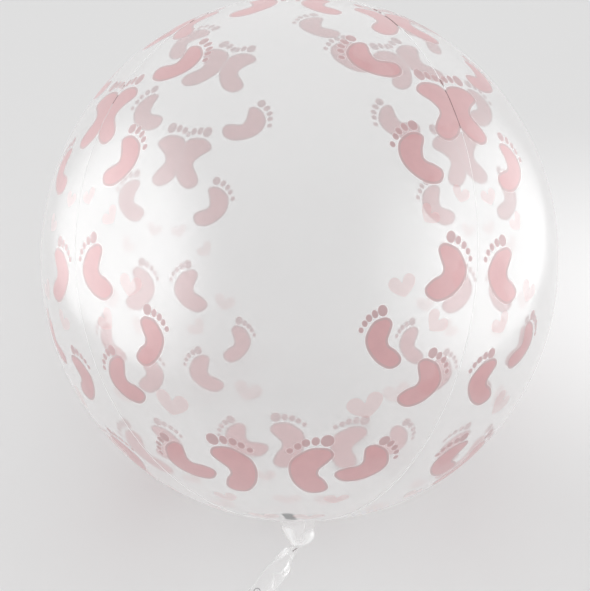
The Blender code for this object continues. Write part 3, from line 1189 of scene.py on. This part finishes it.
class BALLOON_OT_envelope(bpy.types.Operator):
    """Make the printed film of the ball with its pleated neck"""
    bl_idname = "balloon.envelope"
    bl_label = "Envelope"

    def execute(self, context):
        shape, finish = context.scene.balloon_shape, context.scene.balloon_finish
        # The clear film, the footprint inks and the gathered film get a painted glow: their last
        # number
        materials = [
            film_material("clear film", finish.film, finish.film_alpha, painted_glow=0.025),
            ink_material("footprint ink", finish.foot, finish.foot_alpha, 0.40, 0.04),
            ink_material("footprint rim", finish.foot_rim, finish.foot_alpha, 0.36, 0.02),
            ink_material("heart ink", finish.heart, finish.heart_alpha, 0.75),
            film_material("ink edge", (1.0, 0.94, 0.94), 0.50, level=0.75),
            film_material("gathered film", (1.0, 1.0, 1.0), None, 0.14, 1.0, 0.0002, 0.08),
        ]
        add_piece("envelope_film", envelope_mesh(shape), materials, "envelope")
        return {"FINISHED"}


class BALLOON_OT_welds(bpy.types.Operator):
    """Make the four welds between the gores"""
    bl_idname = "balloon.welds"
    bl_label = "Seam Welds"

    def execute(self, context):
        shape, finish = context.scene.balloon_shape, context.scene.balloon_finish
        materials = [
            # The clear weld gets a painted glow
            film_material("clear weld", finish.weld, 0.60, level=0.6, painted_glow=0.05),
            ink_material("inked weld", finish.weld_ink, 0.62, 0.2),
        ]
        add_piece("seam_welds", weld_mesh(shape), materials, "envelope")
        return {"FINISHED"}


class BALLOON_OT_tail(bpy.types.Operator):
    """Make the filling sleeve: the tail outside and the stretch inside the neck"""
    bl_idname = "balloon.tail"
    bl_label = "Filling Sleeve"

    def execute(self, context):
        shape, tail = context.scene.balloon_shape, context.scene.balloon_tail
        white = (1.0, 1.0, 1.0)
        # The sleeve film's last number is a painted glow
        film = film_material("sleeve film", white, None, 0.14, 1.0, 0.0002, 0.04)
        thin = film_material("inner film", white, 0.16, 0.12, 0.9, 0.0002)
        # The cut edge's dense white is partly a painted highlight
        bead = film_material("cut edge", white, 0.85, 0.2, 0.9, 0.0)
        # Painted shadow: the dark ink where the folds meet at the pinch
        gap = ink_material("painted shadow in the folds", (0.16, 0.13, 0.13), 0.80, 0.3)
        rim = ink_material("hole rim", (0.30, 0.30, 0.30), 0.70, 0.5)
        add_piece("filling_tail", tail_mesh(shape, tail), [film, gap, rim],
                  "filling_sleeve")
        add_piece("inner_sleeve", inner_mesh(shape, tail), [thin, bead],
                  "filling_sleeve")
        return {"FINISHED"}


class BALLOON_OT_valve(bpy.types.Operator):
    """Make the valve's grey patch at the sleeve's inner end"""
    bl_idname = "balloon.valve"
    bl_label = "Valve Patch"

    def execute(self, context):
        shape, tail = context.scene.balloon_shape, context.scene.balloon_tail
        grey = ink_material("valve patch", context.scene.balloon_finish.valve, 0.95, 0.4)
        add_piece("valve_patch", patch_mesh(shape, tail), [grey], "filling_sleeve")
        return {"FINISHED"}


def flat_sheet(name, segments, half):
    """A flat square in the scene, with half its width."""
    mesh = bpy.data.meshes.new(name)
    grid = bmesh.new()
    bmesh.ops.create_grid(grid, x_segments=segments, y_segments=segments, size=half)
    grid.to_mesh(mesh)
    grid.free()
    return put(name, mesh)


def add_panel(name, place, facing, size, strength):
    """A soft light panel that shows only in the film's gloss, brightest in its middle."""
    panel = flat_sheet(name, 1, 0.5)
    panel.location = place
    panel.rotation_euler = Vector(facing).to_track_quat("Z", "Y").to_euler()
    panel.scale = (*size, 1.0)
    material, nodes = new_material(name)
    doubled = nodes.add("ShaderNodeVectorMath", {"operation": "SCALE"}, {
        "Vector": nodes.place(), "Scale": 2.0})
    bright = nodes.round_spot(doubled.outputs[0], 0.65)
    shine = nodes.add("ShaderNodeEmission", None, {
        "Color": nodes.blend(bright, (0, 0, 0), (1, 1, 1)), "Strength": strength})
    clear = nodes.add("ShaderNodeBsdfTransparent")
    both = nodes.add("ShaderNodeAddShader", None, {0: shine.outputs[0], 1: clear.outputs[0]})
    nodes.add("ShaderNodeOutputMaterial", None, {"Surface": both.outputs[0]})
    panel.data.materials.append(material)
    panel.visible_camera = False
    panel.visible_diffuse = False
    panel.visible_transmission = False
    panel.visible_shadow = False


def add_lamp(name, place, target, size, power):
    """A soft square light that the gloss doesn't mirror."""
    light = bpy.data.lights.new(name, "AREA")
    light.shape = "SQUARE"
    light.size = size
    light.energy = power
    holder = put(name, light)
    holder.location = place
    holder.rotation_euler = (target - Vector(place)).to_track_quat("-Z", "Y").to_euler()
    holder.visible_glossy = False


def floor_spot(nodes, place, middle, radius):
    """A soft round spot on the floor, 1 in its middle."""
    moved = nodes.add("ShaderNodeMapping", None, {
        "Vector": place, "Location": (-middle[0] / radius, -middle[1] / radius, 0.0),
        "Scale": (1 / radius, 1 / radius, 1.0)})
    return nodes.round_spot(moved.outputs[0])


def light_room(scene, strength):
    """Even light from all round, a little brighter behind the balloon."""
    world = scene.world or bpy.data.worlds.new("room")
    scene.world = world
    world.use_nodes = True
    nodes = Nodes(world.node_tree)
    way = nodes.add("ShaderNodeTexCoord").outputs["Generated"]
    behind = nodes.soft(nodes.along(way, "Y"), -0.9, 0.9)
    sky = nodes.add("ShaderNodeBackground", None, {
        "Color": nodes.blend(behind, (0.74, 0.74, 0.74), (1.20, 1.20, 1.20)),
        "Strength": strength})
    nodes.add("ShaderNodeOutputWorld", None, {"Surface": sky.outputs[0]})


def add_floor(stage):
    """The pale floor, darker towards the back, with a painted shadow behind the ball and painted
    pools of light that glow by it.
    """
    floor = flat_sheet("floor", 2, 4.0)
    material, nodes = new_material("floor")
    cloud = nodes.noise(0.5, 2.0)
    place = nodes.place()
    # Painted light on the right and by the ball's bottom, and a painted shadow behind the ball
    right = floor_spot(nodes, place, *PAINTED_LIGHT_RIGHT)
    near = floor_spot(nodes, place, *PAINTED_LIGHT_NEAR)
    under = floor_spot(nodes, place, *PAINTED_SHADOW_BEHIND)
    far = nodes.soft(nodes.along(place, "Y"), -0.5, 0.9)
    # How much darker the floor is: towards the back, a little at random, and in the painted shadow
    # behind the ball
    dark = far * 0.45 + cloud * 0.05 + under * stage.shade
    nodes.surface({
        "Base Color": nodes.blend(dark, stage.floor, shade(stage.floor, 0.89)),
        "Roughness": 0.9 + 0.05 * cloud,
        "Specular IOR Level": 0.0,
        # The painted pools of light glow by themselves
        "Emission Color": nodes.blend(right + PAINTED_NEAR_SHARE * near, (0, 0, 0), (1, 1, 1)),
        "Emission Strength": stage.patch,
    })
    floor.data.materials.append(material)


def add_camera(scene, shape, stage, middle):
    """The camera, square to the ball's own axes but for a small tilt and roll."""
    camera = bpy.data.cameras.new("camera")
    camera.sensor_width = SENSOR
    camera.lens = stage.lens
    camera.clip_start = 0.01
    viewer = put("camera", camera)
    # The body's own axes in the frame: right, crown, and square to both towards the front
    body = shape.lean().to_3x3() @ Matrix(((1, 0, 0), (0, 0, -1), (0, 1, 0)))
    turn = Matrix.Rotation(stage.roll, 3, "Z") @ Matrix.Rotation(stage.tilt, 3, "X")
    axes = body @ turn.transposed()
    aim = Vector((*AIM, 0.0)) / PICTURE_HEIGHT * SENSOR
    sight = Vector((aim.x, aim.y, -stage.lens)).normalized()
    viewer.matrix_world = Matrix.Translation(
        middle - axes @ (sight * stage.distance)) @ axes.to_4x4()
    scene.camera = viewer


class BALLOON_OT_stage(bpy.types.Operator):
    """Make the floor, the light and the camera"""
    bl_idname = "balloon.stage"
    bl_label = "Stage"

    def execute(self, context):
        scene, stage = context.scene, context.scene.balloon_stage
        shape = scene.balloon_shape
        middle = Vector((0.0, 0.0, shape.height()))
        neck = Vector((0.0, -0.16, 0.05))
        scene.view_settings.view_transform = "Standard"
        light_room(scene, stage.sky)
        add_floor(stage)
        for name, place, facing, size, share in PANELS:
            add_panel(name, middle + Vector(place), facing, size, share * stage.side_light)
        add_lamp("back light", (0.0, 1.0, 1.5), middle, 1.4, stage.back_light)
        add_lamp("front light", (0.0, -0.75, 0.30), neck, 0.5, stage.front_light)
        add_camera(scene, shape, stage, middle)
        return {"FINISHED"}


class BALLOON_PT_panel(bpy.types.Panel):
    """Lists the makers of the balloon's pieces and their sizes"""
    bl_label = "Clear Round Balloon"
    bl_idname = "BALLOON_PT_panel"
    bl_space_type = "VIEW_3D"
    bl_region_type = "UI"
    bl_category = "Balloon"

    def draw(self, context):
        layout = self.layout
        for group in GROUPS:
            settings = getattr(context.scene, group)
            for name in settings.__annotations__:
                layout.prop(settings, name)
        for operator in MAKERS:
            layout.operator(operator.bl_idname)


GROUPS = {
    "balloon_shape": BalloonShape,
    "balloon_tail": TailShape,
    "balloon_finish": BalloonFinish,
    "balloon_stage": StageSettings,
}
MAKERS = (
    BALLOON_OT_envelope, BALLOON_OT_welds, BALLOON_OT_tail, BALLOON_OT_valve, BALLOON_OT_stage)


def register():
    for group in GROUPS.values():
        bpy.utils.register_class(group)
    for maker in MAKERS:
        bpy.utils.register_class(maker)
    bpy.utils.register_class(BALLOON_PT_panel)
    for name, group in GROUPS.items():
        setattr(bpy.types.Scene, name, PointerProperty(type=group))


def unregister():
    for name in GROUPS:
        delattr(bpy.types.Scene, name)
    bpy.utils.unregister_class(BALLOON_PT_panel)
    for maker in reversed(MAKERS):
        bpy.utils.unregister_class(maker)
    for group in reversed(GROUPS.values()):
        bpy.utils.unregister_class(group)


def main():
    register()
    bpy.ops.balloon.envelope()
    bpy.ops.balloon.welds()
    bpy.ops.balloon.tail()
    bpy.ops.balloon.valve()
    bpy.ops.balloon.stage()
    bpy.context.view_layer.update()


if __name__ == "__main__":
    main()
